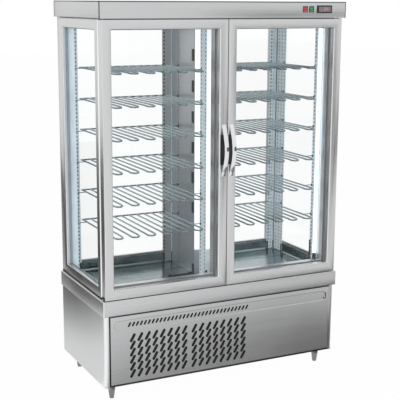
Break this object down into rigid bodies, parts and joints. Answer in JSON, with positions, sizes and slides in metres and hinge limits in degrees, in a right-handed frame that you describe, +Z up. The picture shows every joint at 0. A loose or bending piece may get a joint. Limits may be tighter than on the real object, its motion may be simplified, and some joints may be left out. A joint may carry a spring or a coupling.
{
  "type": "glass display cabinet",
  "caption": "Free-standing refrigerated display cabinet, glazed on all sides, with hinged front doors, wire shelves and a vented machine base.",
  "frame": {"origin": "on the floor under the middle of the bounding box", "axes": "+Z up, -Y towards the doors, +X to the right for someone who faces the doors"},
  "size_m": [1.32, 0.666, 1.894],
  "materials": {
    "brushed_steel": "satin, fine brushed grain",
    "anodised_frame": "satin anodised",
    "polished_steel": "polished, almost a mirror",
    "perforated_steel": "satin, perforated",
    "chrome": "bright",
    "glazing": "clear sealed units",
    "lamp_glass": "white diffusing tube",
    "black_rubber": "matte",
    "black_plastic": "satin",
    "red_plastic": "translucent gloss",
    "green_plastic": "translucent gloss",
    "black_enamel": "semi-gloss",
    "aluminium": "mill"
  },
  "bodies": {
    "cabinet": {"base_casing": "brushed_steel", "deck_band": "brushed_steel", "floor_tub": "polished_steel", "cable_gland": "black_plastic", "condenser": "aluminium", "fan_shroud": "black_enamel", "compressor": "black_enamel", "left_side_frame": "anodised_frame", "left_side_glass": "glazing", "right_side_frame": "anodised_frame", "right_side_glass": "glazing", "back_frame": "anodised_frame", "back_glass": "glazing", "front_frame": "anodised_frame", "back_left_post": "perforated_steel", "back_right_post": "perforated_steel", "front_left_post": "perforated_steel", "front_right_post": "perforated_steel", "centre_post": "perforated_steel", "air_duct": "perforated_steel", "evaporator": "aluminium", "left_shelf_1": "chrome", "left_shelf_2": "chrome", "left_shelf_3": "chrome", "left_shelf_4": "chrome", "left_shelf_5": "chrome", "left_shelf_6": "chrome", "right_shelf_1": "chrome", "right_shelf_2": "chrome", "right_shelf_3": "chrome", "right_shelf_4": "chrome", "right_shelf_5": "chrome", "right_shelf_6": "chrome", "left_lamp": "lamp_glass", "right_lamp": "lamp_glass", "left_lower_hinge_pin": "brushed_steel", "left_upper_hinge_pin": "brushed_steel", "right_lower_hinge_pin": "brushed_steel", "right_upper_hinge_pin": "brushed_steel", "top_cap": "brushed_steel", "cap_floor": "brushed_steel", "switch_body": "black_plastic", "temperature_controller": "black_plastic"},
    "left_door": {"left_door_frame": "anodised_frame", "left_door_glass": "glazing", "left_gasket": "black_rubber", "left_handle": "chrome"},
    "right_door": {"right_door_frame": "anodised_frame", "right_door_glass": "glazing", "right_gasket": "black_rubber", "right_handle": "chrome"},
    "service_panel": {"front_panel": "brushed_steel"},
    "red_switch": {"red_rocker": "red_plastic"},
    "green_switch": {"green_rocker": "green_plastic"},
    "condenser_fan_rotor": {"condenser_fan": "black_plastic"},
    "blower_rotor": {"blower_wheel": "aluminium"},
    "front_left_leg": {"front_left_foot": "brushed_steel"},
    "front_right_leg": {"front_right_foot": "brushed_steel"},
    "back_left_leg": {"back_left_foot": "brushed_steel"},
    "back_right_leg": {"back_right_foot": "brushed_steel"}
  },
  "joints": [
    {"name": "left_door_hinge", "type": "hinge", "parent": "cabinet", "child": "left_door", "pos_m": [-0.632, -0.277, 1.15], "axis": [0, 0, 1], "range_deg": [-105, 0]},
    {"name": "right_door_hinge", "type": "hinge", "parent": "cabinet", "child": "right_door", "pos_m": [0.632, -0.277, 1.15], "axis": [0, 0, 1], "range_deg": [0, 105]},
    {"name": "service_panel_hinge", "type": "hinge", "parent": "cabinet", "child": "service_panel", "pos_m": [-0.613, -0.283, 0.24], "axis": [0, 0, 1], "range_deg": [-100, 0]},
    {"name": "red_switch_tilt", "type": "hinge", "parent": "cabinet", "child": "red_switch", "pos_m": [0.421, -0.3025, 1.858], "axis": [1, 0, 0], "range_deg": [0, 14]},
    {"name": "green_switch_tilt", "type": "hinge", "parent": "cabinet", "child": "green_switch", "pos_m": [0.4565, -0.3025, 1.858], "axis": [1, 0, 0], "range_deg": [0, 14]},
    {"name": "condenser_fan_spin", "type": "hinge", "parent": "cabinet", "child": "condenser_fan_rotor", "pos_m": [-0.17, -0.1817, 0.1883], "axis": [0, 1, 0], "continuous": true},
    {"name": "blower_spin", "type": "hinge", "parent": "cabinet", "child": "blower_rotor", "pos_m": [0, 0.133, 0.56], "axis": [0, 1, 0], "continuous": true},
    {"name": "front_left_foot_turn", "type": "hinge", "parent": "cabinet", "child": "front_left_leg", "pos_m": [-0.61, -0.272, 0.03], "axis": [0, 0, 1], "continuous": true},
    {"name": "front_right_foot_turn", "type": "hinge", "parent": "cabinet", "child": "front_right_leg", "pos_m": [0.556, -0.272, 0.03], "axis": [0, 0, 1], "continuous": true},
    {"name": "back_left_foot_turn", "type": "hinge", "parent": "cabinet", "child": "back_left_leg", "pos_m": [-0.61, 0.193, 0.03], "axis": [0, 0, 1], "continuous": true},
    {"name": "back_right_foot_turn", "type": "hinge", "parent": "cabinet", "child": "back_right_leg", "pos_m": [0.556, 0.193, 0.03], "axis": [0, 0, 1], "continuous": true}
  ]
}
